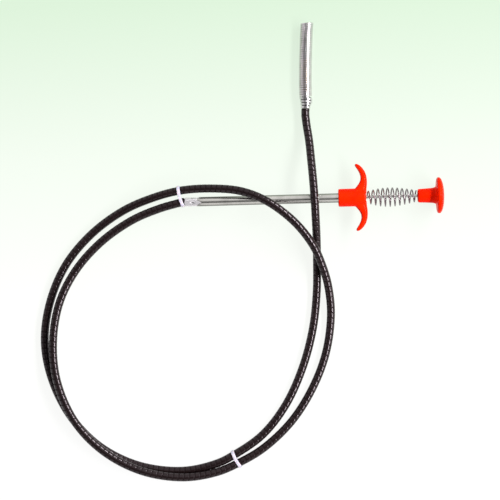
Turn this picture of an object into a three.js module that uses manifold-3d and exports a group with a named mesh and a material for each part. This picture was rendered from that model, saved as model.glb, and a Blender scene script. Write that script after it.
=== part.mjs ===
// A claw drain auger. A plunger handle pushes a steel cable through a long flexible
// shaft, which lies in a loose coil of almost two turns held by two ties. The cable
// drives four spring claws out of the close-wound spring at the shaft's far end.
//
// Millimetres, +Z up. The handle's axis lies along X, with the thumb button at +X,
// at the height where the button's rim touches the surface that everything lies on.
import * as THREE from "three";
import { mergeVertices } from "three/addons/utils/BufferGeometryUtils.js";
import Module from "manifold-3d";

const wasm = await Module();
wasm.setup();

// ---- Driving dimensions ----

const GAP = 0.3; // clearance between pieces that touch or slide
const STROKE = 25; // travel of the plunger, the cable and the claws

const ROD_DIAMETER = 2.4;
const CABLE_DIAMETER = 2;
const CABLE_PLAY = 0.8; // room round the cable, which slides through every bend
const CONDUIT_WALL = 1;
const SHEATH_OD = 6.4;
const SHEATH_WALL = 0.45;

const TUBE_END = -100; // where the shaft leaves the guide tube
const TUBE_LENGTH = 134;
const TUBE_OD = 7.2;
const TUBE_WALL = 0.5;
const CRIMP_LENGTH = 12;
const DIMPLE_DEPTH = 0.45;
const CONDUIT_HOLD = 20; // how far the conduit reaches into the tube

const BUSH_LENGTH = 12;
const BUSH_FLANGE = 1;
const SLEEVE_WALL = 0.8;
const ROD_HOLD = 6; // how much of the rod the joining sleeve holds
const END_CLEARANCE = 2; // between the rod and the cable's end at full travel
const SLEEVE_LAP = 5; // how much of the cable the sleeve covers at rest

const HUB_DIAMETER = 14;
const HUB_LENGTH = 21.3;
const HUB_FRONT_WALL = 4.2;
const WING_SPAN = 50.6;
const WING_THICKNESS = 8.4;
const WING_EDGE = 1.2; // rounding of the wings' edges
const WING_LEAD = 1.2; // how far the wings swell in front of the hub

const SPRING_LENGTH = 39.3;
const SPRING_WIRE = 1.2;
const SPRING_TURNS = 10.25;
const SPRING_END_OD = 9.5;
const SPRING_MIDDLE_OD = 15.2;

const STEM_DIAMETER = 10.6;
const STEM_LENGTH = 14.5;
const BUTTON_DIAMETER = 28;
const BUTTON_THICKNESS = 5.8;
const BUTTON_FLAT_DIAMETER = 12;
const ROD_SEAT = 12; // how deep the rod sits in the button's stem

const FERRULE_LENGTH = 8.6;
const FERRULE_OD = 9.9;
const SPIGOT_LENGTH = 5;
const CONDUIT_SEAT = 2.5; // how far the conduit reaches into the ferrule
const TIP_LENGTH = 57.5;
const TIP_OD = 10;
const TIP_WIRE = 1.2;
const TIP_PITCH = 2.4; // of the ridges that stand for every second coil
const HEAD_ANGLE = 87.4; // degrees from +X to the direction the head points in

const COLLAR_WALL = 0.8;
const COLLAR_NOSE = 4; // solid front end that the claws are set in
const COLLAR_LAP = 3.5; // how much of the cable the collar covers at full travel
const COLLAR_PLAY = 1.5; // between the collar's ends and what stops it
const CLAW_COUNT = 4;
const CLAW_WIRE = 0.7;
const CLAW_CIRCLE = 2; // diameter of the circle that the claws' roots lie on
const CLAW_RECESS = 0.9; // from the mouth of the tip spring back to the first hook
const CLAW_STAGGER = 1.1; // each hook lies this much behind the last
const HOOK_REACH = 0.8;

const TIE_WIDTH = 2;
const TIE_THICKNESS = 0.7;
const TIE_GAP = 0.5;

const CROSSING_CLEARANCE = 1.2; // under the shaft where it passes over the guide tube
const HEAD_CLEARANCE = 0.1; // under the head

// ---- Sizes that follow ----

const AXIS_Z = BUTTON_DIAMETER / 2;
const ROD_BORE = ROD_DIAMETER + 2 * GAP;
const CONDUIT_BORE = CABLE_DIAMETER + CABLE_PLAY;
const CONDUIT_OD = CONDUIT_BORE + 2 * CONDUIT_WALL;
const CONDUIT_SOCKET = CONDUIT_OD + 2 * GAP;
const TUBE_BORE = TUBE_OD - 2 * TUBE_WALL;

const tubeFront = TUBE_END + TUBE_LENGTH;
const flangeBack = tubeFront + GAP;
const flangeFront = flangeBack + BUSH_FLANGE;
const hubFront = flangeFront + GAP + HUB_FRONT_WALL;
const hubBack = hubFront - HUB_LENGTH;
const springBack = hubFront + GAP;
const springFront = springBack + SPRING_LENGTH;
const stemBack = springFront + GAP;
const discBack = stemBack + STEM_LENGTH;
const buttonFace = discBack + BUTTON_THICKNESS;

const bushBack = tubeFront - BUSH_LENGTH;
const sleeveFront = bushBack - GAP;
const rodBack = sleeveFront - ROD_HOLD;
const rodFront = stemBack + ROD_SEAT;
const cableBack = rodBack - STROKE - END_CLEARANCE;
const sleeveBack = cableBack - SLEEVE_LAP;
const conduitBack = TUBE_END + CONDUIT_HOLD;

// Places along the head's axis, from the ferrule's back face.
const tipBack = FERRULE_LENGTH + GAP;
const mouth = tipBack + TIP_LENGTH;
const collarBack = CONDUIT_SEAT + COLLAR_PLAY;
const cableFront = collarBack + STROKE + COLLAR_LAP;
const collarBoreFront = cableFront + COLLAR_PLAY;
const collarFront = collarBoreFront + COLLAR_NOSE;
const clawBack = collarFront + GAP;

// ---- The shaft's route ----

const LAID = SHEATH_OD / 2; // height of the shaft's axis where it lies on the surface
const TIED = LAID + TIE_GAP + TIE_THICKNESS; // the same with a tie under it
const OVER_TUBE = AXIS_Z + (TUBE_OD + SHEATH_OD) / 2 + CROSSING_CLEARANCE;
const HEAD_Z = Math.max(TIP_OD, FERRULE_OD) / 2 + HEAD_CLEARANCE;

const ROUTE = [
  // Out of the tube, and once round: the left side and the bottom lie on the second turn.
  [TUBE_END - 2.2, 0, AXIS_Z],
  [-120, -4.6, 13.6],
  [-141.3, -13, 12],
  [-165.8, -29.2, 10],
  [-186.3, -51, 8.6],
  [-199.5, -76, 8.6],
  [-205, -106, 9.4],
  [-202.6, -136.2, 10.3],
  [-189.9, -167.2, 10.6],
  [-168.2, -190.9, 10.6],
  [-139.4, -206.9, 9.8],
  [-108, -212.9, 8.4],
  [-82, -210, 5.8],
  [-64, -203.2, TIED],
  [-44.2, -192.2, 3.5],
  [-22.2, -172.3, LAID],
  [-5.3, -147.2, LAID],
  [5.9, -120.2, LAID],
  [10.7, -91, 3.4],
  [9.3, -69, 6.4],
  [5, -52.4, 11.6],
  [-2, -36, 16.4],
  [-15.8, -17.8, 20.6],
  [-36, -1.6, OVER_TUBE],
  [-56, 7, 20.4],
  [-80, 9.9, 16.2],
  [-104.3, 8.8, AXIS_Z],
  // Round again, and over the tube to the head.
  [-126.2, 3.5, 10.6],
  [-148.8, -5.7, 6.4],
  [-174, -23.3, 3.5],
  [-194.6, -47.2, LAID],
  [-207.6, -77, LAID],
  [-211.8, -107, LAID],
  [-206.3, -136.8, LAID],
  [-191.9, -165.8, LAID],
  [-170.2, -188.4, LAID],
  [-141.4, -203.2, LAID],
  [-108, -208.2, 3.3],
  [-81.8, -203.5, 3.9],
  [-67.2, -196.8, TIED],
  [-45, -182.1, 3.4],
  [-26.5, -159.7, LAID],
  [-12.4, -130.8, LAID],
  [-3.5, -100.2, LAID],
  [0.2, -72, 3.3],
  [1, -48, 5.6],
  [1, -30, 11.6],
  [0.5, -14, 18.6],
  [0, 0, OVER_TUBE],
  [-0.7, 14, 20.9],
  [-1.6, 29, 15.4],
  [-2.7, 45, 8.9],
  [-4.2, 57, 5.7],
  [-5, 65, HEAD_Z],
];
const UPPER_TIE = [0, 26]; // the two points of the route that each tie holds together
const LOWER_TIE = [13, 39];
const HEAD_LEAD = 5; // straight stretch that ends in the ferrule
const ROUTE_STEPS = 78;

const routePoints = ROUTE.map((point) => new THREE.Vector3(...point));
const headTurn = THREE.MathUtils.degToRad(HEAD_ANGLE);
const headDirection = new THREE.Vector3(Math.cos(headTurn), Math.sin(headTurn), 0);
const shaftEnd = routePoints.at(-1).clone().addScaledVector(headDirection, HEAD_LEAD);
const stations = [
  new THREE.Vector3(TUBE_END - GAP, 0, AXIS_Z),
  ...new THREE.CatmullRomCurve3(routePoints, false, "centripetal")
    .getSpacedPoints(ROUTE_STEPS),
  shaftEnd,
];

// ---- Materials ----

function finish(color, roughness, metalness) {
  return new THREE.MeshStandardMaterial({ color, roughness, metalness });
}

const ORANGE_PLASTIC = finish(0xf93207, 0.3, 0);
const POLISHED_STEEL = finish(0xb9b6ae, 0.25, 1);
const SPRING_STEEL = finish(0xa9a7a2, 0.3, 1);
const BRASS = finish(0xb08d4a, 0.35, 1);
const CABLE_STEEL = finish(0x8d8b87, 0.4, 1);
const BLACK_SHEATH = finish(0x231b1b, 0.35, 0);
const WHITE_TIE = finish(0xefeaf0, 0.6, 0);

// ---- Shapes ----

// A turned piece along +X. The profile is a list of [place along X, radius], which
// starts and ends on the axis or comes back to its first point.
function turned(profile, segments = 24) {
  const points = profile.map(([place, radius]) => new THREE.Vector2(radius, place));
  if (THREE.ShapeUtils.area(points) < 0) {
    points.reverse();
  }
  const geometry = new THREE.LatheGeometry(points, segments);
  geometry.rotateZ(-Math.PI / 2);
  return geometry;
}

// A plain tube or, with no bore, a plain rod along +X.
function turnedTube(from, to, diameter, bore = 0, segments = 16) {
  const radius = diameter / 2;
  const inner = bore / 2;
  const profile = [[from, inner], [from, radius], [to, radius], [to, inner]];
  if (bore > 0) {
    profile.push([from, inner]);
  }
  return turned(profile, segments);
}

// A path that an extrusion follows from station to station, so that tubes through the
// same stations lie exactly inside each other.
class StationPath extends THREE.Curve {
  constructor(places) {
    super();
    this.places = places;
  }

  getPoint(t, target = new THREE.Vector3()) {
    const along = t * (this.places.length - 1);
    const i = Math.min(Math.floor(along), this.places.length - 2);
    return target.lerpVectors(this.places[i], this.places[i + 1], along - i);
  }

  getUtoTmapping(u) {
    return u;
  }
}

// The coils of a round-wire spring along +X, whose radius swells to the middle.
class BarrelHelix extends THREE.Curve {
  constructor(from, to, endRadius, middleRadius, turns) {
    super();
    Object.assign(this, { from, to, endRadius, middleRadius, turns });
  }

  getPoint(t, target = new THREE.Vector3()) {
    const angle = 2 * Math.PI * this.turns * t;
    const swell = Math.sin(Math.PI * t);
    const radius = this.endRadius + (this.middleRadius - this.endRadius) * swell;
    const along = THREE.MathUtils.lerp(this.from, this.to, t);
    return target.set(along, radius * Math.cos(angle), radius * Math.sin(angle));
  }
}

function polygon(path, diameter, sides) {
  for (let i = 0; i < sides; i++) {
    const angle = (2 * Math.PI * (i + 0.5)) / sides;
    const corner = [(diameter / 2) * Math.cos(angle), (diameter / 2) * Math.sin(angle)];
    if (i === 0) {
      path.moveTo(...corner);
    } else {
      path.lineTo(...corner);
    }
  }
  path.closePath();
  return path;
}

function swept(extrudePath, steps, diameter, bore = 0, sides = 8) {
  const section = polygon(new THREE.Shape(), diameter, sides);
  if (bore > 0) {
    section.holes.push(polygon(new THREE.Path(), bore, sides));
  }
  return new THREE.ExtrudeGeometry(section, { steps, extrudePath });
}

function sweptThrough(places, diameter, bore, sides) {
  return swept(new StationPath(places), places.length - 1, diameter, bore, sides);
}

// ---- Booleans ----

function solid(geometry) {
  const bare = geometry.clone();
  bare.deleteAttribute("normal");
  bare.deleteAttribute("uv");
  const merged = mergeVertices(bare, 1e-4);
  return new wasm.Manifold(new wasm.Mesh({
    numProp: 3,
    vertProperties: new Float32Array(merged.attributes.position.array),
    triVerts: new Uint32Array(merged.index.array),
  }));
}

function fromSolid(body) {
  const mesh = body.getMesh();
  const geometry = new THREE.BufferGeometry();
  const positions = new THREE.BufferAttribute(mesh.vertProperties, 3);
  geometry.setAttribute("position", positions);
  geometry.setIndex(new THREE.BufferAttribute(mesh.triVerts, 1));
  geometry.computeVertexNormals();
  return geometry;
}

// ---- The assembly ----

const auger = new THREE.Group();
const handle = new THREE.Group(); // its own X axis is the handle's axis
handle.position.z = AXIS_Z;
const head = new THREE.Group(); // its own X axis is the head's axis
head.position.copy(shaftEnd).addScaledVector(headDirection, GAP);
head.rotation.z = headTurn;
auger.add(handle, head);

function add(parent, name, geometry, material) {
  const mesh = new THREE.Mesh(geometry, material);
  mesh.name = name;
  parent.add(mesh);
  return mesh;
}

// ---- Handle ----

function guideTube() {
  const crimpFront = TUBE_END + CRIMP_LENGTH;
  const outer = TUBE_OD / 2;
  const held = CONDUIT_SOCKET / 2;
  const body = solid(turned([
    [TUBE_END, held],
    [TUBE_END, outer],
    [tubeFront, outer],
    [tubeFront, TUBE_BORE / 2],
    [conduitBack + GAP, TUBE_BORE / 2],
    [conduitBack, held],
    [TUBE_END, held],
  ]));
  // Punch marks, which press the tube's end onto the conduit.
  const PUNCH_DIAMETER = 6;
  const punch = new THREE.SphereGeometry(PUNCH_DIAMETER / 2, 12, 8);
  const reach = outer + PUNCH_DIAMETER / 2 - DIMPLE_DEPTH;
  let tube = body;
  for (const along of [TUBE_END + CRIMP_LENGTH / 3, crimpFront - CRIMP_LENGTH / 4]) {
    for (let i = 0; i < 4; i++) {
      const angle = (Math.PI / 2) * i + Math.PI / 4;
      const mark = punch.clone();
      mark.translate(along, reach * Math.cos(angle), reach * Math.sin(angle));
      tube = tube.subtract(solid(mark));
    }
  }
  return fromSolid(tube);
}

function rodBush() {
  const bore = ROD_BORE / 2;
  const inTube = TUBE_BORE / 2 - GAP;
  return turned([
    [bushBack, bore],
    [bushBack, inTube],
    [flangeBack, inTube],
    [flangeBack, TUBE_OD / 2],
    [flangeFront, TUBE_OD / 2],
    [flangeFront, bore],
    [bushBack, bore],
  ], 16);
}

// One wing of the grip, seen from above: a crescent rooted in the hub's front end,
// which swells forward and sweeps back to a narrow tip.
function wing(side) {
  const tip = WING_SPAN / 2 - WING_EDGE;
  const front = hubFront + WING_LEAD - WING_EDGE;
  const outline = new THREE.Shape();
  const at = (back, out) => new THREE.Vector2(front - back, side * out * tip);
  const [rootFront, rootBack] = [at(1.4, 0.06), at(8.2, 0.06)];
  outline.moveTo(rootFront.x, rootFront.y);
  outline.splineThru([
    at(1.3, 0.2), at(0.2, 0.36), at(0, 0.52), at(0.8, 0.72), at(3.2, 0.89), at(6.6, 1),
  ]);
  outline.splineThru([
    at(7.4, 0.96), at(5, 0.81), at(3.6, 0.64), at(4, 0.47), at(7.6, 0.34),
  ]);
  outline.lineTo(rootBack.x, rootBack.y);
  outline.closePath();
  const depth = WING_THICKNESS - 2 * WING_EDGE;
  const geometry = new THREE.ExtrudeGeometry(outline, {
    depth,
    curveSegments: 2,
    bevelSize: WING_EDGE,
    bevelThickness: WING_EDGE,
    bevelSegments: 2,
  });
  geometry.translate(0, 0, -depth / 2);
  return solid(geometry);
}

function fingerGrip() {
  const ROUND = 1.4;
  const radius = HUB_DIAMETER / 2;
  const hub = turned([
    [hubBack, 0],
    [hubBack, radius - ROUND],
    [hubBack + ROUND / 3, radius - ROUND / 3],
    [hubBack + ROUND, radius],
    [hubFront - ROUND, radius],
    [hubFront - ROUND / 3, radius - ROUND / 3],
    [hubFront, radius - ROUND],
    [hubFront, 0],
  ]);
  const PAST = 5; // how far a cutter stands past the face that it opens
  const socketFront = flangeFront + GAP;
  const socket = turnedTube(hubBack - PAST, socketFront, TUBE_OD + 2 * GAP, 0, 24);
  const rodHole = turnedTube(hubBack, hubFront + PAST, ROD_BORE);
  const body = solid(hub).add(wing(1)).add(wing(-1));
  return fromSolid(body.subtract(solid(socket)).subtract(solid(rodHole)));
}

function returnSpring() {
  const endRadius = (SPRING_END_OD - SPRING_WIRE) / 2;
  const middleRadius = (SPRING_MIDDLE_OD - SPRING_WIRE) / 2;
  const helix = new BarrelHelix(
    springBack + SPRING_WIRE / 2, springFront - SPRING_WIRE / 2,
    endRadius, middleRadius, SPRING_TURNS,
  );
  const STEPS_A_TURN = 12;
  return swept(helix, SPRING_TURNS * STEPS_A_TURN, SPRING_WIRE, 0, 6);
}

function thumbButton() {
  const bore = ROD_BORE / 2;
  const stem = STEM_DIAMETER / 2;
  const rim = BUTTON_DIAMETER / 2;
  return turned([
    [rodFront + GAP, 0],
    [rodFront + GAP, bore],
    [stemBack, bore],
    [stemBack, stem - 0.5],
    [stemBack + 0.5, stem],
    [discBack - 2.5, stem + 0.7],
    [discBack - 0.8, stem + 1.6],
    [discBack, stem + 3.2],
    [discBack + 0.3, rim - 1.4],
    [discBack + 1.2, rim - 0.2],
    [discBack + 2.2, rim],
    [buttonFace - 2.6, rim - 0.4],
    [buttonFace - 1.5, rim - 2],
    [buttonFace - 0.6, rim - 5],
    [buttonFace, BUTTON_FLAT_DIAMETER / 2],
    [buttonFace, 0],
  ], 32);
}

add(handle, "guide_tube", guideTube(), POLISHED_STEEL);
add(handle, "rod_bush", rodBush(), BRASS);
add(handle, "finger_grip", fingerGrip(), ORANGE_PLASTIC);
add(handle, "return_spring", returnSpring(), SPRING_STEEL);
add(handle, "push_rod", turnedTube(rodBack, rodFront, ROD_DIAMETER), POLISHED_STEEL);
const sleeveOuter = ROD_BORE + 2 * SLEEVE_WALL;
const rodSleeve = turnedTube(sleeveBack, sleeveFront, sleeveOuter, ROD_BORE);
add(handle, "rod_sleeve", rodSleeve, BRASS);
add(handle, "thumb_button", thumbButton(), ORANGE_PLASTIC);

// ---- Flexible shaft ----

// A place on the handle's axis, or on the head's.
const onHandle = (along) => new THREE.Vector3(along, 0, AXIS_Z);
const onHead = (along) => head.position.clone().addScaledVector(headDirection, along);

const conduitPlaces = [onHandle(conduitBack), ...stations, onHead(CONDUIT_SEAT)];
const cablePlaces = [onHandle(cableBack), ...stations, onHead(cableFront)];
const sheath = sweptThrough(stations, SHEATH_OD, SHEATH_OD - 2 * SHEATH_WALL);
add(auger, "outer_sheath", sheath, BLACK_SHEATH);
const conduit = sweptThrough(conduitPlaces, CONDUIT_OD, CONDUIT_BORE);
add(auger, "conduit_spring", conduit, SPRING_STEEL);
add(auger, "core_cable", sweptThrough(cablePlaces, CABLE_DIAMETER), CABLE_STEEL);

// A tie is a flat band looped round the two strands of the shaft that pass side by side
// at the given points of the route.
function addTie(name, [first, second]) {
  const a = routePoints[first];
  const b = routePoints[second];
  const half = a.distanceTo(b) / 2;
  const loop = (path, radius) => {
    path.absarc(half, 0, radius, -Math.PI / 2, Math.PI / 2, false);
    path.absarc(-half, 0, radius, Math.PI / 2, 1.5 * Math.PI, false);
    path.closePath();
    return path;
  };
  const inner = SHEATH_OD / 2 + TIE_GAP;
  const band = loop(new THREE.Shape(), inner + TIE_THICKNESS);
  band.holes.push(loop(new THREE.Path(), inner));
  const geometry = new THREE.ExtrudeGeometry(band, {
    depth: TIE_WIDTH,
    bevelEnabled: false,
    curveSegments: 8,
  });
  geometry.translate(0, 0, -TIE_WIDTH / 2);
  geometry.rotateX(Math.PI / 2);
  const tie = add(auger, name, geometry, WHITE_TIE);
  tie.position.lerpVectors(a, b, 0.5);
  tie.rotation.z = Math.atan2(b.y - a.y, b.x - a.x);
}

addTie("tie_upper", UPPER_TIE);
addTie("tie_lower", LOWER_TIE);

// ---- Head ----

// Four crimped steps, wider towards the tip, and a spigot inside the tip spring.
function headFerrule() {
  const STEPS = [0.75, 0.84, 0.95, 1]; // each step's share of the full diameter
  const GROOVE = 0.25;
  const bore = CONDUIT_SOCKET / 2;
  const stepLength = FERRULE_LENGTH / STEPS.length;
  const profile = [[0, bore]];
  STEPS.forEach((share, i) => {
    const radius = (share * FERRULE_OD) / 2;
    const back = i * stepLength;
    profile.push([back, radius - GROOVE]);
    profile.push([back + stepLength * 0.25, radius]);
    profile.push([back + stepLength * 0.8, radius]);
  });
  const spigot = TIP_OD / 2 - TIP_WIRE - GAP;
  const spigotFront = FERRULE_LENGTH + SPIGOT_LENGTH;
  profile.push([FERRULE_LENGTH, FERRULE_OD / 2 - GROOVE]);
  profile.push([FERRULE_LENGTH, spigot], [spigotFront, spigot], [spigotFront, bore]);
  profile.push([0, bore]);
  return turned(profile, 20);
}

// The close-wound spring at the head, as a ridged tube of the same sizes.
function tipSpring() {
  const inner = TIP_OD / 2 - TIP_WIRE;
  const RIDGE = 0.3;
  const ridges = Math.round(TIP_LENGTH / TIP_PITCH);
  const pitch = TIP_LENGTH / ridges;
  const profile = [[tipBack, inner]];
  for (let i = 0; i < ridges; i++) {
    profile.push([tipBack + i * pitch, TIP_OD / 2 - RIDGE]);
    profile.push([tipBack + (i + 0.5) * pitch, TIP_OD / 2]);
  }
  profile.push([mouth, TIP_OD / 2 - RIDGE], [mouth, inner], [tipBack, inner]);
  return turned(profile, 20);
}

function clawCollar() {
  const bore = CABLE_DIAMETER / 2 + GAP;
  const outer = bore + COLLAR_WALL;
  return turned([
    [collarBack, bore],
    [collarBack, outer],
    [collarFront, outer],
    [collarFront, 0],
    [collarBoreFront, 0],
    [collarBoreFront, bore],
    [collarBack, bore],
  ], 16);
}

// A spring-wire claw along +X from its root at the origin, its hook turned to -Y.
function claw(length) {
  const places = [
    [0, 0],
    [length - 2 * HOOK_REACH, 0],
    [length - HOOK_REACH, -0.12 * HOOK_REACH],
    [length - 0.3 * HOOK_REACH, -0.45 * HOOK_REACH],
    [length - CLAW_WIRE / 2, -HOOK_REACH],
  ].map(([along, out]) => new THREE.Vector3(along, out, 0));
  return sweptThrough(places, CLAW_WIRE, 0, 6);
}

add(head, "head_ferrule", headFerrule(), POLISHED_STEEL);
add(head, "tip_spring", tipSpring(), SPRING_STEEL);
add(head, "claw_collar", clawCollar(), BRASS);
for (let i = 0; i < CLAW_COUNT; i++) {
  const angle = (2 * Math.PI * (i + 0.5)) / CLAW_COUNT;
  const length = mouth - CLAW_RECESS - i * CLAW_STAGGER - clawBack;
  const mesh = add(head, `claw_${i + 1}`, claw(length), SPRING_STEEL);
  const root = CLAW_CIRCLE / 2;
  mesh.position.set(clawBack, root * Math.cos(angle), root * Math.sin(angle));
  mesh.rotation.x = angle;
}

export default auger;
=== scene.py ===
import math

import bmesh
import bpy
import numpy as np
from mathutils import Matrix, Vector


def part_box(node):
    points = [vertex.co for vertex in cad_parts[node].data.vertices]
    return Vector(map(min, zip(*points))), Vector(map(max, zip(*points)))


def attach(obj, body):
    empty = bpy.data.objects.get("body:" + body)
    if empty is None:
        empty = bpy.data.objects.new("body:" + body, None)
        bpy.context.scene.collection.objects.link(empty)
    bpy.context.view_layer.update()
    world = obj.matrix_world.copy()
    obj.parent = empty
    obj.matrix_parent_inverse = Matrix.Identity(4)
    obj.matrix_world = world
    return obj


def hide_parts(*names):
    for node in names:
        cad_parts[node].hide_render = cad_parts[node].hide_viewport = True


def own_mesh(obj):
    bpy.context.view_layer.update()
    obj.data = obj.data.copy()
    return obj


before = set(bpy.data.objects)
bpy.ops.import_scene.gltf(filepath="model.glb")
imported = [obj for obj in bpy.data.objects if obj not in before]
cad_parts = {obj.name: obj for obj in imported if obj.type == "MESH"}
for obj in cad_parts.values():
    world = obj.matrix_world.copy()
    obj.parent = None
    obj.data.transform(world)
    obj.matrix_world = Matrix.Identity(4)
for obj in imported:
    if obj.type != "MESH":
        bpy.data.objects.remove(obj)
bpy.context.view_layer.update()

MM = 0.001


# ---- Places read from the frame ----

def low(node, axis):
    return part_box(node)[0][axis]


def high(node, axis):
    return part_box(node)[1][axis]


X, Z = 0, 2
GAP = 0.3 * MM  # clearance between pieces that meet
AXIS_Z = (low("thumb_button", Z) + high("thumb_button", Z)) / 2  # of the whole handle
TUBE_BACK, TUBE_FRONT = low("guide_tube", X), high("guide_tube", X)
GRIP_BACK = low("finger_grip", X)
SPRING_BACK, SPRING_FRONT = low("return_spring", X), high("return_spring", X)
HUB_FRONT = SPRING_BACK - GAP
STEM_BACK, BUTTON_FACE = low("thumb_button", X), high("thumb_button", X)

# Sizes, as the CAD model has them
TUBE_OD = 7.2 * MM
TUBE_BORE = 6.2 * MM
CONDUIT_HOLD = 20 * MM  # how far the conduit reaches into the tube
HUB_DIAMETER = 14 * MM
ROD_DIAMETER = 2.4 * MM
STEM_DIAMETER = 10.6 * MM
BUTTON_DIAMETER = 28 * MM
BUTTON_THICKNESS = 5.8 * MM
SHEATH_OD = 6.4 * MM
FERRULE_LENGTH = 8.6 * MM
TIP_LENGTH = 57.5 * MM
TIP_OD = 10 * MM
TIP_WIRE = 1.2 * MM


# ---- The camera ----

def add_object(name, data):
    made = bpy.data.objects.new(name, data)
    bpy.context.collection.objects.link(made)
    return made


def make_camera():
    """Straight above, with a long lens, rolled so that the handle rises a little."""
    height = 2.0
    frame_width = 386 * MM  # at the height of the handle's axis
    middle = (-50.7 * MM, -38.35 * MM)
    roll = math.radians(-1.55)
    data = bpy.data.cameras.new("camera")
    data.lens = data.sensor_width * height / frame_width
    data.clip_start = 0.05
    camera = add_object("camera", data)
    camera.location = (*middle, AXIS_Z + height)
    camera.rotation_euler = (0, 0, roll)
    bpy.context.scene.camera = camera


# ---- Mesh helpers ----

def new_piece(name, verts, faces, body, slot, material, attributes=None):
    """A mesh piece that rides on a body. attributes maps a name to a value a vertex."""
    mesh = bpy.data.meshes.new(name)
    mesh.from_pydata([tuple(v) for v in verts], [], faces)
    mesh.validate()
    for key, values in (attributes or {}).items():
        layer = mesh.attributes.new(key, "FLOAT", "POINT")
        layer.data.foreach_set("value", np.asarray(values, dtype=np.float32))
    mesh.materials.append(material)
    mesh.shade_smooth()
    piece = add_object(name, mesh)
    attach(piece, body)
    return piece


def ring_faces(rings, sides, closed=False):
    """Quads between rings of vertices; closed joins the last ring to the first."""
    faces = []
    for i in range(rings if closed else rings - 1):
        a, b = i * sides, ((i + 1) % rings) * sides
        for j in range(sides):
            k = (j + 1) % sides
            faces.append((a + j, a + k, b + k, b + j))
    return faces


def capped(rings, sides):
    """Ring faces with a cap at each end."""
    last = (rings - 1) * sides
    faces = ring_faces(rings, sides)
    faces.append(tuple(reversed(range(sides))))
    faces.append(tuple(range(last, last + sides)))
    return faces


def frames_along(path):
    """Two directions across a path at each of its points, carried along without twist.

    The path doesn't start straight up or down.
    """
    tangents = np.gradient(path, axis=0)
    tangents /= np.linalg.norm(tangents, axis=1)[:, None]
    across = np.cross(tangents[0], (0.0, 0.0, 1.0))
    across /= np.linalg.norm(across)
    firsts = []
    for tangent in tangents:
        across = across - tangent * (across @ tangent)
        across /= np.linalg.norm(across)
        firsts.append(across)
    firsts = np.array(firsts)
    return firsts, np.cross(tangents, firsts)


def distances_along(path):
    steps = np.linalg.norm(np.diff(path, axis=0), axis=1)
    return np.concatenate([[0.0], np.cumsum(steps)])


def angles_round(sides):
    """The angle of each side of a ring, in radians."""
    return 2 * np.pi * np.arange(sides) / sides


def swept_verts(path, radii, sides):
    """Rings round a path. radii has a row for each ring: one number, or one a side."""
    first, second = frames_along(path)
    angles = angles_round(sides)
    out = (first[:, None, :] * np.cos(angles)[None, :, None]
           + second[:, None, :] * np.sin(angles)[None, :, None])
    return (path[:, None, :] + out * radii[:, :, None]).reshape(-1, 3)


def turned_verts(profile, sides, wobble=None):
    """Rings round +X through (place, radius) pairs.

    wobble(places, angles, radii) gives what each vertex's radius is changed by.
    """
    angles = angles_round(sides)
    places = np.array([p for p, _ in profile])[:, None] * np.ones(sides)
    radii = np.array([r for _, r in profile])[:, None] * np.ones(sides)
    if wobble is not None:
        radii = radii + wobble(places, angles[None, :] * np.ones_like(places), radii)
    return np.stack(
        [places, radii * np.cos(angles), radii * np.sin(angles)], axis=2).reshape(-1, 3)


def turned_solid(profile, sides):
    """The vertices and faces of a closed solid turned round +X."""
    return turned_verts(profile, sides), capped(len(profile), sides)


def rounded(corners, radius, steps=4):
    """A profile with each inner corner rounded by an arc-like curve."""
    points = [np.array(c, float) for c in corners]
    result = [points[0]]
    for before, corner, after in zip(points, points[1:], points[2:]):
        a, b = before - corner, after - corner
        reach = min(radius, np.linalg.norm(a) * 0.45, np.linalg.norm(b) * 0.45)
        start = corner + a / np.linalg.norm(a) * reach
        end = corner + b / np.linalg.norm(b) * reach
        for i in range(steps + 1):
            t = i / steps
            result.append((1 - t) ** 2 * start + 2 * t * (1 - t) * corner + t * t * end)
    result.append(points[-1])
    return [tuple(p) for p in result]


def dense(profile, step):
    """The same profile with points added so that none are further apart than step."""
    result = [profile[0]]
    for a, b in zip(profile, profile[1:]):
        count = max(1, math.ceil(math.dist(a, b) / step))
        for i in range(1, count + 1):
            t = i / count
            result.append((a[0] + (b[0] - a[0]) * t, a[1] + (b[1] - a[1]) * t))
    return result


def eased(share):
    """A share of 0 to 1 with a soft start and end."""
    return share * share * (3 - 2 * share)


def squarish(wave, power):
    """A sine or cosine that draws a rounded square: 2 is a circle, and more is squarer."""
    return np.sign(wave) * np.abs(wave) ** (2 / power)


def place_on_handle(piece):
    """Moves a piece that was turned round +X to the handle's axis."""
    piece.location = (0, 0, AXIS_Z)


# ---- Materials ----

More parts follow.
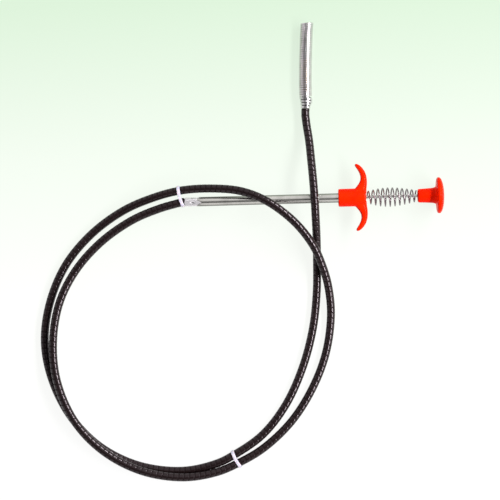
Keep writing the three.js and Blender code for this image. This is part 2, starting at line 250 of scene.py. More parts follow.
class Paint:
    """A procedural material, built node by node."""

    def __init__(self, name):
        self.material = bpy.data.materials.new(name)
        self.material.use_nodes = True
        self.tree = self.material.node_tree
        self.shader = self.tree.nodes["Principled BSDF"]

    def node(self, kind):
        return self.tree.nodes.new(kind)

    def link(self, source, target):
        self.tree.links.new(source, target)

    def set(self, **values):
        """Plain values of the shader's own sockets."""
        for key, value in values.items():
            self.shader.inputs[key.replace("_", " ")].default_value = value

    def coordinates(self, scale=(1, 1, 1)):
        place = self.node("ShaderNodeTexCoord")
        mapping = self.node("ShaderNodeMapping")
        mapping.inputs["Scale"].default_value = scale
        self.link(place.outputs["Object"], mapping.inputs["Vector"])
        return mapping.outputs["Vector"]

    def axes(self):
        """The object's own X, Y and Z, one by one."""
        place = self.node("ShaderNodeSeparateXYZ")
        self.link(self.coordinates(), place.inputs["Vector"])
        return place.outputs

    def noise(self, scale, detail=3, roughness=0.5, stretch=(1, 1, 1)):
        texture = self.node("ShaderNodeTexNoise")
        texture.inputs["Scale"].default_value = scale
        texture.inputs["Detail"].default_value = detail
        texture.inputs["Roughness"].default_value = roughness
        self.link(self.coordinates(stretch), texture.inputs["Vector"])
        return texture.outputs["Fac"]

    def ramp(self, source, stops):
        """A colour for each value of source, through (place, colour) stops."""
        ramp = self.node("ShaderNodeValToRGB")
        elements = ramp.color_ramp.elements
        for place, _ in stops[1:-1]:
            elements.new(place)
        for element, (place, colour) in zip(elements, stops):
            element.position = place
            element.color = (*colour, 1)
        self.link(source, ramp.inputs["Fac"])
        return ramp.outputs["Color"]

    def spread(self, source, low_value, high_value, from_low=0.3, from_high=0.7):
        """low_value to high_value, as source goes through from_low to from_high."""
        spread = self.node("ShaderNodeMapRange")
        spread.inputs["From Min"].default_value = from_low
        spread.inputs["From Max"].default_value = from_high
        spread.inputs["To Min"].default_value = low_value
        spread.inputs["To Max"].default_value = high_value
        self.link(source, spread.inputs["Value"])
        return spread.outputs["Result"]

    def mix(self, factor, first, second, blend="MIX"):
        """factor is a socket or a number; first and second are sockets or colours."""
        mix = self.node("ShaderNodeMix")
        mix.data_type = "RGBA"
        mix.blend_type = blend
        for index, value in ((0, factor), (6, first), (7, second)):
            if isinstance(value, bpy.types.NodeSocket):
                self.link(value, mix.inputs[index])
            else:
                plain = (*value, 1) if isinstance(value, tuple) else value
                mix.inputs[index].default_value = plain
        return mix.outputs[2]

    def bump(self, height, strength, distance, under=None):
        bump = self.node("ShaderNodeBump")
        bump.inputs["Strength"].default_value = strength
        bump.inputs["Distance"].default_value = distance
        self.link(height, bump.inputs["Height"])
        if under is not None:
            self.link(under, bump.inputs["Normal"])
        return bump.outputs["Normal"]

    def pointiness(self):
        """About 0.5 on level places, more on raised edges and less in hollows."""
        return self.node("ShaderNodeNewGeometry").outputs["Pointiness"]

    def edges(self):
        """1 on raised edges."""
        return self.spread(self.pointiness(), 0, 1, 0.54, 0.62)

    def hollows(self):
        """1 in grooves and between coils."""
        return self.spread(self.pointiness(), 1, 0, 0.42, 0.495)

    def attribute(self, name):
        made = self.node("ShaderNodeAttribute")
        made.attribute_name = name
        return made.outputs["Fac"]

    def wave(self, scale, distortion=0.0, direction="X"):
        texture = self.node("ShaderNodeTexWave")
        texture.bands_direction = direction
        texture.inputs["Scale"].default_value = scale
        texture.inputs["Distortion"].default_value = distortion
        self.link(self.coordinates(), texture.inputs["Vector"])
        return texture.outputs["Fac"]

    def finish(self, colour=None, roughness=None, normal=None):
        """Links what is given to the shader, and returns the material."""
        sources = {"Base Color": colour, "Roughness": roughness, "Normal": normal}
        for name, source in sources.items():
            if source is not None:
                self.link(source, self.shader.inputs[name])
        return self.material


def shade(colour, factor):
    return tuple(c * factor for c in colour)


def orange_plastic(name):
    """Glossy moulding: uneven pigment, faint flow marks, and a fine orange-peel skin."""
    paint = Paint(name)
    paint.set(IOR=1.5, Specular_IOR_Level=0.03)
    red, green, blue = tint = (0.78, 0.0105, 0.0001)
    deep = (red * 0.86, green * 0.72, blue)
    pale = (1.0, green * 1.3, blue * 1.6)
    # Raised edges are lighter: partly edge wear, partly a painted highlight.
    lit_worn_edge = (0.9, 0.045, 0.005)
    colour = paint.ramp(paint.noise(90, 4, 0.6), [(0.32, deep), (0.5, tint), (0.72, pale)])
    worn_and_lit = paint.mix(paint.edges(), colour, lit_worn_edge)
    roughness = paint.spread(paint.noise(420, 5), 0.2, 0.34)
    peel = paint.bump(paint.noise(900, 2), 0.1, 0.05 * MM)
    flow = paint.bump(paint.noise(140, 3, stretch=(0.3, 1, 1)), 0.08, 0.15 * MM, peel)
    return paint.finish(worn_and_lit, roughness, flow)


def drawn_steel(name, colour=(0.74, 0.72, 0.68), rough=(0.16, 0.3), along=(0.02, 1, 1),
                crimped=False, dark_reflection_below=None):
    """Bright steel with fine marks along the direction that it was drawn in.

    crimped adds the dull pressed faces, lighter as rubbed steel and partly as a painted
    highlight, and painted shade in their marks. The last argument is the height over the
    piece's axis under which its sides get a painted dark reflection.
    """
    paint = Paint(name)
    paint.set(Metallic=1.0)
    streaks = paint.noise(1900, 4, 0.6, along)
    base = paint.ramp(paint.noise(60, 4, 0.65), [
        (0.3, shade(colour, 0.72)), (0.55, colour), (0.8, shade(colour, 1.06))])
    base = paint.mix(paint.spread(streaks, 0, 0.35), base, shade(colour, 0.6))
    # Painted shade in the hollows.
    base = paint.mix(paint.hollows(), base, shade(colour, 0.16))
    roughness = paint.spread(paint.noise(700, 5, 0.6, along), *rough)
    # Painted dark reflection: the sides below the given height are darkened.
    if dark_reflection_below:
        height = paint.axes()["Z"]
        sides = paint.spread(height, 0.85, 0, 0.6 * dark_reflection_below, dark_reflection_below)
        base = paint.mix(sides, base, shade(colour, 0.12))
    if crimped:
        # Pressed faces: rubbed steel, rougher and lighter; the lighter colour is partly a
        # painted highlight.
        highlit_rubbed_steel, rubbed_rough, painted_mark_shade = (0.82, 0.79, 0.82), (0.4,) * 3, (0.08, 0.07, 0.075)
        rubbed_and_highlit = paint.spread(paint.attribute("pressed"), 0, 1, 0.2, 0.8)
        base = paint.mix(rubbed_and_highlit, base, highlit_rubbed_steel)
        roughness = paint.mix(rubbed_and_highlit, roughness, rubbed_rough)
        # Painted shade in the punch marks and in the ferrule's grooves.
        mark_shade = paint.spread(paint.attribute("groove"), 0, 0.85, 0.3, 0.9)
        base = paint.mix(mark_shade, base, painted_mark_shade)
    marks = paint.bump(streaks, 0.18, 0.03 * MM)
    return paint.finish(base, roughness, marks)


def spring_wire(name, colour, rough=(0.16, 0.32)):
    """Bright spring wire: die marks, oil staining, and painted shade between its coils."""
    paint = Paint(name)
    paint.set(Metallic=1.0)
    red, green, blue = colour
    stained = (red * 0.5, green * 0.48, blue * 0.45)
    base = paint.ramp(paint.noise(240, 5, 0.7), [
        (0.25, stained), (0.48, colour), (0.8, shade(colour, 1.1))])
    # Painted shade in the hollows and on the wire's flanks between the coils.
    base = paint.mix(paint.hollows(), base, shade(colour, 0.2))
    coil_gap_shade = paint.spread(paint.attribute("groove"), 0, 0.92, 0.05, 0.8)
    base = paint.mix(coil_gap_shade, base, shade(colour, 0.14))
    roughness = paint.spread(paint.noise(1500, 4), *rough)
    marks = paint.bump(paint.noise(3000, 3), 0.15, 0.02 * MM)
    return paint.finish(base, roughness, marks)


def black_sheath(name):
    """Glossy black PVC drawn over a wound conduit: dull in its grooves, with painted shade
    there, lightly scuffed.
    """
    paint = Paint(name)
    paint.set(IOR=1.5, Specular_Tint=(1.0, 0.88, 0.95, 1))
    groove_shade, groove_rough = (0.0024, 0.0014, 0.0014), (0.5,) * 3
    scuffed = (0.03, 0.023, 0.024)
    colour = paint.ramp(paint.noise(75, 5, 0.65), [
        (0.3, (0.0042, 0.0019, 0.0021)), (0.55, (0.007, 0.0035, 0.0036)),
        (0.9, (0.013, 0.008, 0.0082))])
    groove = paint.attribute("groove")
    # Painted shade in the grooves.
    colour = paint.mix(paint.spread(groove, 0, 0.5, 0.2, 1), colour, groove_shade)
    scuff = paint.spread(paint.noise(1300, 6, 0.75), 0, 0.4, 0.64, 0.82)
    colour = paint.mix(scuff, colour, scuffed)
    polish = paint.spread(paint.noise(380, 5), 0.14, 0.2)
    roughness = paint.mix(paint.spread(groove, 0, 1, 0.1, 0.45), polish, groove_rough)
    gloss = paint.spread(groove, 0.4, 0.12, 0.05, 0.4)
    paint.link(gloss, paint.shader.inputs["Specular IOR Level"])
    grain = paint.bump(paint.noise(2200, 3), 0.015, 0.02 * MM)
    return paint.finish(colour, roughness, grain)


def white_band(name):
    """A thin matt plastic band, unevenly pale grey."""
    paint = Paint(name)
    paint.set(IOR=1.46, Subsurface_Weight=0.15, Subsurface_Scale=0.8 * MM)
    colour = paint.ramp(paint.noise(600, 4, 0.6), [
        (0.3, (0.37, 0.34, 0.42)), (0.55, (0.47, 0.43, 0.52)), (0.8, (0.54, 0.51, 0.58))])
    roughness = paint.spread(paint.noise(900, 3), 0.42, 0.62)
    grain = paint.bump(paint.noise(2600, 3), 0.25, 0.05 * MM)
    return paint.finish(colour, roughness, grain)


def turned_brass(name):
    """Brass with tarnish and the fine rings that turning leaves."""
    paint = Paint(name)
    paint.set(Metallic=1.0)
    tarnish = paint.noise(300, 5, 0.6)
    colour = paint.ramp(tarnish, [
        (0.3, (0.4, 0.26, 0.1)), (0.55, (0.72, 0.53, 0.24)), (0.85, (0.83, 0.66, 0.36))])
    roughness = paint.spread(paint.noise(800, 4), 0.22, 0.42)
    rings = paint.bump(paint.wave(4200), 0.1, 0.02 * MM)
    return paint.finish(colour, roughness, rings)


def stranded_cable(name):
    """Twisted strands, by slanted bands across the cable, darker between them."""
    paint = Paint(name)
    paint.set(Metallic=1.0)
    strands = paint.wave(900, 0.5, "DIAGONAL")
    colour = paint.ramp(strands, [(0.1, (0.12, 0.11, 0.1)), (0.6, (0.5, 0.49, 0.47))])
    roughness = paint.spread(paint.noise(700, 4), 0.3, 0.5)
    return paint.finish(colour, roughness, paint.bump(strands, 0.6, 0.15 * MM))


# ---- The flexible shaft ----

LAID = SHEATH_OD / 2  # height of the shaft's axis where it lies on the surface
TIED = LAID + 1.2 * MM  # the same with a tie under it
OVER_TUBE = AXIS_Z + (TUBE_OD + SHEATH_OD) / 2 + 1.2 * MM
HEAD_Z = TIP_OD / 2 + 0.1 * MM
HEAD_ANGLE = math.radians(87.4)
HEAD_DIRECTION = np.array([math.cos(HEAD_ANGLE), math.sin(HEAD_ANGLE), 0])
HEAD_LEAD = 5 * MM  # straight stretch that ends in the ferrule

# The route's points, in metres, as the CAD model has them.
ROUTE = [
    (-0.1022, 0, AXIS_Z),
    (-0.120, -0.0046, 0.0136),
    (-0.1413, -0.013, 0.012),
    (-0.1658, -0.0292, 0.010),
    (-0.1863, -0.051, 0.0086),
    (-0.1995, -0.076, 0.0086),
    (-0.205, -0.106, 0.0094),
    (-0.2026, -0.1362, 0.0103),
    (-0.1899, -0.1672, 0.0106),
    (-0.1682, -0.1909, 0.0106),
    (-0.1394, -0.2069, 0.0098),
    (-0.108, -0.2129, 0.0084),
    (-0.082, -0.210, 0.0058),
    (-0.064, -0.2032, TIED),
    (-0.0442, -0.1922, 0.0035),
    (-0.0222, -0.1723, LAID),
    (-0.0053, -0.1472, LAID),
    (0.0059, -0.1202, LAID),
    (0.0107, -0.091, 0.0034),
    (0.0093, -0.069, 0.0064),
    (0.005, -0.0524, 0.0116),
    (-0.002, -0.036, 0.0164),
    (-0.0158, -0.0178, 0.0206),
    (-0.036, -0.0016, OVER_TUBE),
    (-0.056, 0.007, 0.0204),
    (-0.080, 0.0099, 0.0162),
    (-0.1043, 0.0088, AXIS_Z),
    (-0.1262, 0.0035, 0.0106),
    (-0.1488, -0.0057, 0.0064),
    (-0.174, -0.0233, 0.0035),
    (-0.1946, -0.0472, LAID),
    (-0.2076, -0.077, LAID),
    (-0.2118, -0.107, LAID),
    (-0.2063, -0.1368, LAID),
    (-0.1919, -0.1658, LAID),
    (-0.1702, -0.1884, LAID),
    (-0.1414, -0.2032, LAID),
    (-0.108, -0.2082, 0.0033),
    (-0.0818, -0.2035, 0.0039),
    (-0.0672, -0.1968, TIED),
    (-0.045, -0.1821, 0.0034),
    (-0.0265, -0.1597, LAID),
    (-0.0124, -0.1308, LAID),
    (-0.0035, -0.1002, LAID),
    (0.0002, -0.072, 0.0033),
    (0.001, -0.048, 0.0056),
    (0.001, -0.030, 0.0116),
    (0.0005, -0.014, 0.0186),
    (0, 0, OVER_TUBE),
    (-0.0007, 0.014, 0.0209),
    (-0.0016, 0.029, 0.0154),
    (-0.0027, 0.045, 0.0089),
    (-0.0042, 0.057, 0.0057),
    (-0.005, 0.065, HEAD_Z),
]
UPPER_TIE = (0, 26)  # the two points of the route that each tie holds together
LOWER_TIE = (13, 39)


def smooth_route(points, per_span):
    """A centripetal Catmull-Rom curve through the points, the ends carried straight on."""
    points = [np.array(p, float) for p in points]
    points = [2 * points[0] - points[1], *points, 2 * points[-1] - points[-2]]
    result = []
    for p0, p1, p2, p3 in zip(points, points[1:], points[2:], points[3:]):
        d0, d1, d2 = (
            math.sqrt(np.linalg.norm(b - a)) for a, b in ((p0, p1), (p1, p2), (p2, p3)))
        t1 = ((p1 - p0) / d0 - (p2 - p0) / (d0 + d1) + (p2 - p1) / d1) * d1
        t2 = ((p2 - p1) / d1 - (p3 - p1) / (d1 + d2) + (p3 - p2) / d2) * d1
        for i in range(per_span):
            t = i / per_span
            result.append(
                p1 * (2 * t**3 - 3 * t**2 + 1) + t1 * (t**3 - 2 * t**2 + t)
                + p2 * (-2 * t**3 + 3 * t**2) + t2 * (t**3 - t**2))
    result.append(points[-2])
    return np.array(result)


def evenly(path, step):
    """The path again with equal steps."""
    along = distances_along(path)
    count = round(along[-1] / step) + 1
    at = np.linspace(0, along[-1], count)
    return np.stack([np.interp(at, along, path[:, i]) for i in range(3)], axis=1)


def shaft_path(step):
    """The shaft's middle line, from the tube's end to the ferrule."""
    bend = smooth_route(ROUTE, 24)
    start = np.array([TUBE_BACK - GAP, 0, AXIS_Z])
    end = bend[-1] + HEAD_DIRECTION * HEAD_LEAD
    return evenly(np.vstack([start, bend, end]), step)


def make_sheath(material):
    """The PVC skin follows the conduit's coils: rounded ribs with narrow grooves."""
    rib_pitch = 4.2 * MM
    groove_depth = 0.17 * MM
    groove_share = 0.34
    sides = 20
    path = shaft_path(rib_pitch / 10)
    along = distances_along(path)
    phase = along[:, None] / rib_pitch + angles_round(sides)[None, :] / (2 * np.pi)
    from_groove = np.abs(phase - np.round(phase)) * 2
    groove = eased(np.clip(1 - from_groove / groove_share, 0, 1))
    radii = SHEATH_OD / 2 - groove_depth * groove
    # The groove share also paints shade into the grooves, in the material.
    sheath = new_piece(
        "shaft_sheath", swept_verts(path, radii, sides), capped(len(path), sides),
        "handle", "black_sheath", material, attributes={"groove": groove.reshape(-1)})
    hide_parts("outer_sheath")
    return sheath, path


# ---- Handle pieces ----

CRIMP_LENGTH = 12 * MM
CRIMP_TURN = math.radians(108)  # the flat that faces up leans to -Y
PUNCH_TURN = math.radians(4)  # how far each punch mark is off the middle of its flat


def crimp_shares(places, angles):
    """How far each place is pressed square, and how deep it is in a punch mark."""
    into = (places - TUBE_BACK) / CRIMP_LENGTH
    ends_at = 0.95 + 0.13 * np.cos(4 * (angles - CRIMP_TURN))  # further along the flats
    pressed = eased(np.clip((ends_at - into) / 0.1, 0, 1))
    mark_width, mark_stretch = 0.62 * MM, 1.7
    from_middle = places - TUBE_BACK - CRIMP_LENGTH / 2
    punched = np.zeros_like(places)
    for i in range(4):
        turned_by = angles - (CRIMP_TURN - PUNCH_TURN + i * math.pi / 2)
        round_by = np.angle(np.exp(1j * turned_by)) * TUBE_OD / 2
        away = (from_middle / mark_stretch) ** 2 + round_by ** 2
        punched += np.exp(-away / (2 * mark_width ** 2))
    return pressed, punched


def crimp_marks(places, angles, radii):
    """Where the tube's end is pressed square onto the shaft, with a punch mark a side."""
    flat, corner = 2.98 * MM, 3.7 * MM  # from the axis
    mark_depth = 0.32 * MM
    turn = np.mod(angles - CRIMP_TURN + math.pi / 4, math.pi / 2) - math.pi / 4
    square = np.minimum(corner, flat / np.cos(turn)) - TUBE_OD / 2
    pressed, punched = crimp_shares(places, angles)
    outside = radii > TUBE_OD / 2 - 0.2 * MM
    return np.where(outside, square * pressed - mark_depth * punched, 0)


def make_tube(material):
    """The tube, drawn down on the conduit at its far end. Its rings are close at the crimp."""
    bore, outer = TUBE_BORE / 2, TUBE_OD / 2
    socket = 2.5 * MM  # radius of the hole that holds the conduit
    plain_from, socket_front = TUBE_BACK + CRIMP_LENGTH + 2 * MM, TUBE_BACK + CONDUIT_HOLD
    profile = dense([
        (TUBE_BACK + 0.15 * MM, outer - 0.15 * MM),
        (TUBE_BACK + 0.3 * MM, outer),
        (plain_from, outer),
    ], 0.25 * MM)
    profile += dense([(plain_from, outer), (TUBE_FRONT, outer)], 6 * MM)[1:]
    profile += [
        (TUBE_FRONT, bore), (socket_front + GAP, bore), (socket_front, socket),
        (TUBE_BACK, socket), (TUBE_BACK, outer - 0.3 * MM),
    ]
    sides = 72
    verts = turned_verts(profile, sides, crimp_marks)
    outside = np.hypot(verts[:, 1], verts[:, 2]) > socket + 0.1 * MM
    pressed, punched = crimp_shares(verts[:, 0], np.arctan2(verts[:, 2], verts[:, 1]))
    # In the material, the pressed flats turn lighter, partly as a painted highlight, and the
    # punch marks get painted shade.
    tube = new_piece(
        "steel_guide_tube", verts, ring_faces(len(profile), sides, closed=True),
        "handle", "polished_steel", material,
        attributes={"pressed": pressed * outside, "groove": punched * outside})
    place_on_handle(tube)
    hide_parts("guide_tube")


def wing_sections(side):
    """One wing of the grip, in rings from inside the hub to its rounded tip.

    Each row is the place outwards, how far the middle of the wing is in front of the
    hub's back face, half its width, half its thickness, and the section's lean in degrees.
    """
    rows = [
        (3.0, 17.3, 4.6, 4.6, 0),
        (6.4, 17.3, 4.7, 4.5, 0),
        (8.4, 18.3, 4.0, 4.35, 0),
        (10.6, 19.3, 3.2, 4.2, -2),
        (13.2, 19.9, 2.6, 4.1, 0),
        (16.2, 19.8, 2.35, 4.0, 8),
        (19.2, 18.9, 2.2, 3.85, 20),
        (21.8, 17.4, 2.0, 3.6, 32),
        (23.9, 15.6, 1.65, 3.2, 42),
        (25.1, 14.2, 1.15, 2.6, 48),
        (25.6, 13.6, 0.5, 1.6, 50),
    ]
    sides = 28
    angles = angles_round(sides)
    around, above = squarish(np.cos(angles), 2.7), squarish(np.sin(angles), 2.7)
    rings = []
    for out, ahead, half_width, half_thick, lean in rows:
        lean = math.radians(lean)
        along = GRIP_BACK + ahead * MM + around * half_width * MM * math.cos(lean)
        across = side * (out * MM + around * half_width * MM * math.sin(lean))
        rings.append(np.stack([along, across, above * half_thick * MM], axis=1))
    return np.vstack(rings), capped(len(rows), sides)


def join_solids(name, parts):
    """One object from several pairs of vertices and faces, all facing outwards."""
    work = bmesh.new()
    for verts, faces in parts:
        made = [work.verts.new(v) for v in verts]
        for face in faces:
            work.faces.new([made[i] for i in face])
    bmesh.ops.remove_doubles(work, verts=work.verts, dist=1e-7)
    bmesh.ops.recalc_face_normals(work, faces=work.faces)
    mesh = bpy.data.meshes.new(name)
    work.to_mesh(mesh)
    work.free()
    return add_object(name, mesh)


def apply_modifiers(piece):
    graph = bpy.context.evaluated_depsgraph_get()
    graph.update()
    mesh = bpy.data.meshes.new_from_object(piece.evaluated_get(graph))
    piece.modifiers.clear()
    piece.data = mesh


def make_grip(material):
    """Hub and wings are fused by a fine remesh, smoothed, and then bored for the tube."""
    radius = HUB_DIAMETER / 2
    hub_profile = rounded([
        (GRIP_BACK, 0), (GRIP_BACK, radius - 0.1 * MM), (HUB_FRONT - 1.0 * MM, radius),
        (HUB_FRONT, radius - 1.2 * MM), (HUB_FRONT, 0)], 1.2 * MM, 5)
    grip = join_solids("moulded_grip", [
        turned_solid(hub_profile[1:-1], 64), wing_sections(1), wing_sections(-1)])
    remesh = grip.modifiers.new("fuse", "REMESH")
    remesh.mode = "VOXEL"
    remesh.voxel_size = 0.32 * MM
    smooth = grip.modifiers.new("smooth", "SMOOTH")
    smooth.iterations = 12
    smooth.factor = 0.5
    apply_modifiers(grip)

    tube_hole, rod_hole = TUBE_OD / 2 + 0.2 * MM, 1.5 * MM
    lead_in = tube_hole + 0.7 * MM
    back, front = GRIP_BACK - 4 * MM, HUB_FRONT + 4 * MM
    step = TUBE_FRONT + 1.6 * MM
    cutter = join_solids("cutter", [turned_solid([
        (back, lead_in), (GRIP_BACK - 0.05 * MM, lead_in), (GRIP_BACK + 0.5 * MM, tube_hole),
        (step, tube_hole), (step, rod_hole), (front, rod_hole)], 64)])
    bore = grip.modifiers.new("bore", "BOOLEAN")
    bore.operation = "DIFFERENCE"
    bore.solver = "EXACT"
    bore.object = cutter
    apply_modifiers(grip)
    bpy.data.objects.remove(cutter)
    grip.data.materials.clear()
    grip.data.materials.append(material)
    grip.data.shade_smooth()
    grip.data.set_sharp_from_angle(angle=math.radians(40))
    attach(grip, "handle")
    place_on_handle(grip)
    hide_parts("finger_grip")


def wire_radii(wire, steps):
    """A wire's radius at each step, less at its two cut ends."""
    radii = np.full((steps, 1), wire / 2)
    radii[0] = radii[-1] = wire * 0.36
    return radii


def make_return_spring(material):
    """A barrel spring of round wire, bowed a little sideways as it lies."""
    wire = 1.05 * MM
    turns = 10.25
    wire_start = -1.86  # radians from +Y
    end_od, middle_od = 9.5 * MM, 15.2 * MM
    bow = 0.45 * MM
    length = SPRING_FRONT - SPRING_BACK
    steps = int(turns * 44)
    share = np.linspace(0, 1, steps)
    angle = 2 * np.pi * turns * share + wire_start
    swell = np.sin(np.pi * share ** 0.86)  # 1 at the widest turn, nearer to the grip
    radius = (end_od - wire + (middle_od - end_od) * np.maximum(swell, 0) ** 1.1) / 2
    along = SPRING_BACK + wire / 2 + share * (length - wire)
    across = radius * np.cos(angle) - bow * swell
    path = np.stack([along, across, AXIS_Z + radius * np.sin(angle)], axis=1)
    sides = 12
    spring = new_piece(
        "barrel_return_spring", swept_verts(path, wire_radii(wire, steps), sides),
        capped(steps, sides), "handle", "spring_steel", material)
    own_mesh(spring)
    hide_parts("return_spring")


def make_rod(material):
    """The rod that runs from the button through the spring into the tube."""
    radius = ROD_DIAMETER / 2
    back, front = low("push_rod", X), high("push_rod", X)
    profile = rounded([
        (back, 0.1 * MM), (back, radius), (front, radius), (front, 0.1 * MM)], 0.3 * MM)
    rod = new_piece(
        "drawn_push_rod", *turned_solid(profile, 32), "plunger", "polished_steel", material)
    place_on_handle(rod)
    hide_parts("push_rod")


def make_button(material):
    """Stem and disc in one moulding: a domed face, round rim and dished underside."""
    stem, rim = STEM_DIAMETER / 2, BUTTON_DIAMETER / 2
    disc_back = BUTTON_FACE - BUTTON_THICKNESS
    bore = 1.45 * MM
    profile = [
        (STEM_BACK + 9 * MM, bore),
        (STEM_BACK, bore),
        (STEM_BACK, stem - 0.1 * MM),
        (STEM_BACK + 5 * MM, stem + 0.1 * MM),
        (disc_back - 2.6 * MM, stem + 0.55 * MM),
        (disc_back - 0.3 * MM, stem + 1.3 * MM),
        (disc_back + 0.25 * MM, rim - 4 * MM),
        (disc_back + 0.15 * MM, rim - 1.9 * MM),
        (disc_back + 1.0 * MM, rim - 0.1 * MM),
        (BUTTON_FACE - 3.1 * MM, rim),
        (BUTTON_FACE - 1.75 * MM, rim - 1.5 * MM),
        (BUTTON_FACE - 0.7 * MM, rim - 4.4 * MM),
        (BUTTON_FACE, 5.8 * MM),
        (BUTTON_FACE, 0.1 * MM),
    ]
    button = new_piece(
        "moulded_thumb_button", *turned_solid(rounded(profile, 1.6 * MM, 6), 96),
        "plunger", "orange_plastic", material)
    place_on_handle(button)
    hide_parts("thumb_button")


# ---- Head pieces ----

# Places along the head, from the ferrule's back face
TIP_BACK = FERRULE_LENGTH + GAP
MOUTH = TIP_BACK + TIP_LENGTH


def head_matrix():
    """From head places (+X along the head from the ferrule's back face) to the frame."""
    along = Vector(HEAD_DIRECTION)
    up = Vector((0, 0, 1))
    side = up.cross(along)
    origin = Vector(ROUTE[-1]) + along * (HEAD_LEAD + GAP)
    matrix = Matrix((along, side, up)).transposed().to_4x4()
    matrix.translation = origin
    return matrix


def make_ferrule(material):
    """Four crimped steps with leaning grooves, and a spigot inside the tip spring."""
    radii = [3.75 * MM, 4.3 * MM, 4.75 * MM, 4.95 * MM]
    step = FERRULE_LENGTH / len(radii)
    groove = 0.6 * MM
    bore, spigot, spigot_end = 2.7 * MM, 3.1 * MM, 13.4 * MM
    profile = [(0, bore), (0, radii[0] - 0.2 * MM)]
    for i, radius in enumerate(radii):
        back, front = i * step, (i + 1) * step
        profile += [
            (back + 0.3 * MM, radius),
            (front - 0.55 * MM, radius + 0.05 * MM),
            (front - 0.3 * MM, radius - groove),
            (front, radius - groove + 0.05 * MM),
        ]
    profile += [(FERRULE_LENGTH, spigot), (spigot_end, spigot), (spigot_end, bore), (0, bore)]
    profile = dense(rounded(profile, 0.18 * MM, 3)[:-1], 0.3 * MM)
    seen_from = spigot + 0.05 * MM  # radius of the crimp's lowest place

    def squeezed(places, angles, radii_there):
        pressed = 0.1 * MM * np.sin(3 * angles + places / (1.1 * MM))
        outer = (radii_there > seen_from) & (places < FERRULE_LENGTH - 0.05 * MM)
        return np.where(outer, pressed - 0.05 * MM, 0)

    sides = 64
    verts = turned_verts(profile, sides, squeezed)
    # How deep each ring sits in a groove; the material paints shade there.
    sunk = []
    for place, radius in profile:
        top = radii[min(int(place / step), len(radii) - 1)]
        sunk.append(np.clip((top - radius) / (0.4 * MM), 0, 1) if radius > seen_from else 0)
    # The crimp leans: its grooves slant, and its middle stands off the axis to +X.
    slant, shift = 0.07, 0.35 * MM
    verts[:, 0] += verts[:, 1] * np.where(
        (verts[:, 0] > 0.6 * MM) & (verts[:, 0] < FERRULE_LENGTH - 0.4 * MM), slant, 0)
    verts[:, 1] -= shift * np.sin(np.pi * np.clip(verts[:, 0] / (9 * MM), 0, 1))
    ferrule = new_piece(
        "crimped_ferrule", verts, ring_faces(len(profile), sides, closed=True),
        "handle", "polished_steel", material,
        attributes={"groove": np.repeat(sunk, sides)})
    ferrule.matrix_world = head_matrix()
    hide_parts("head_ferrule")
    return ferrule


def make_tip_spring(material):
    """Close-wound wire with a flattened outside, the whole spring slightly bowed."""
    pitch = 1.73 * MM
    bow = 0.6 * MM
    widening = 1.12  # the wire is rolled a little wider along the spring than its wall
    length = TIP_LENGTH - TIP_WIRE
    turns = length / pitch
    steps = int(turns * 40)
    share = np.linspace(0, 1, steps)
    angle = 2 * np.pi * turns * share
    along = TIP_BACK + TIP_WIRE / 2 + share * length
    sideways = bow * np.sin(np.pi * share) ** 0.7
    sides = 12
    section = angles_round(sides) + np.pi / sides
    half = wire_radii(TIP_WIRE, steps)
    lengthwise = squarish(np.cos(section), 3.2)
    radius = (TIP_OD - TIP_WIRE) / 2 + half * squarish(np.sin(section), 3.2)
    verts = np.stack([
        along[:, None] + half * lengthwise * widening,
        radius * np.cos(angle)[:, None] + sideways[:, None],
        radius * np.sin(angle)[:, None],
    ], axis=2).reshape(-1, 3)
    # The wire's flanks, which the material paints dark as shade between the coils.
    flank = np.clip((np.abs(lengthwise) - 0.4) / 0.45, 0, 1)
    spring = new_piece(
        "wound_tip_spring", verts, capped(steps, sides), "handle", "spring_steel", material,
        attributes={"groove": np.tile(flank, steps)})
    spring.matrix_world = head_matrix()
    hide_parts("tip_spring")
    return spring


def make_claws(material):
    """Spring-wire claws with hooks, set round the collar's nose."""
    words = ("one", "two", "three", "four")
    root, wire, hook = 1.0 * MM, 0.7 * MM, 0.8 * MM
    claw_back = 38.3 * MM
    recess, stagger = 0.9 * MM, 1.1 * MM  # of the first hook, and of each after it
    turn = np.linspace(0, math.pi / 2.4, 12)
    bend = hook / (1 - math.cos(turn[-1]))
    sides = 12
    claws = []
    for i, word in enumerate(words):
        angle = 2 * math.pi * (i + 0.5) / len(words)
        length = MOUTH - recess - i * stagger - claw_back
        end = length - wire / 2 - bend * math.sin(turn[-1])
        straight = np.linspace(0, end, 24)[:-1]
        places = np.concatenate([straight, end + bend * np.sin(turn)])
        inwards = np.concatenate([0 * straight, -bend * (1 - np.cos(turn))])
        path = np.stack([places, inwards, 0 * places], axis=1)
        radii = np.full((len(path), 1), wire / 2)
        radii[-3:, 0] *= (0.95, 0.8, 0.45)
        claw = new_piece(
            f"wire_claw_{i + 1}", swept_verts(path, radii, sides), capped(len(path), sides),
            f"claw_{word}", "spring_steel", material)
        local = Matrix.Translation(
            (claw_back, root * math.cos(angle), root * math.sin(angle)))
        claw.matrix_world = head_matrix() @ local @ Matrix.Rotation(angle, 4, "X")
        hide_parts(f"claw_{i + 1}")
        claws.append(claw)
    return claws


# ---- Ties ----

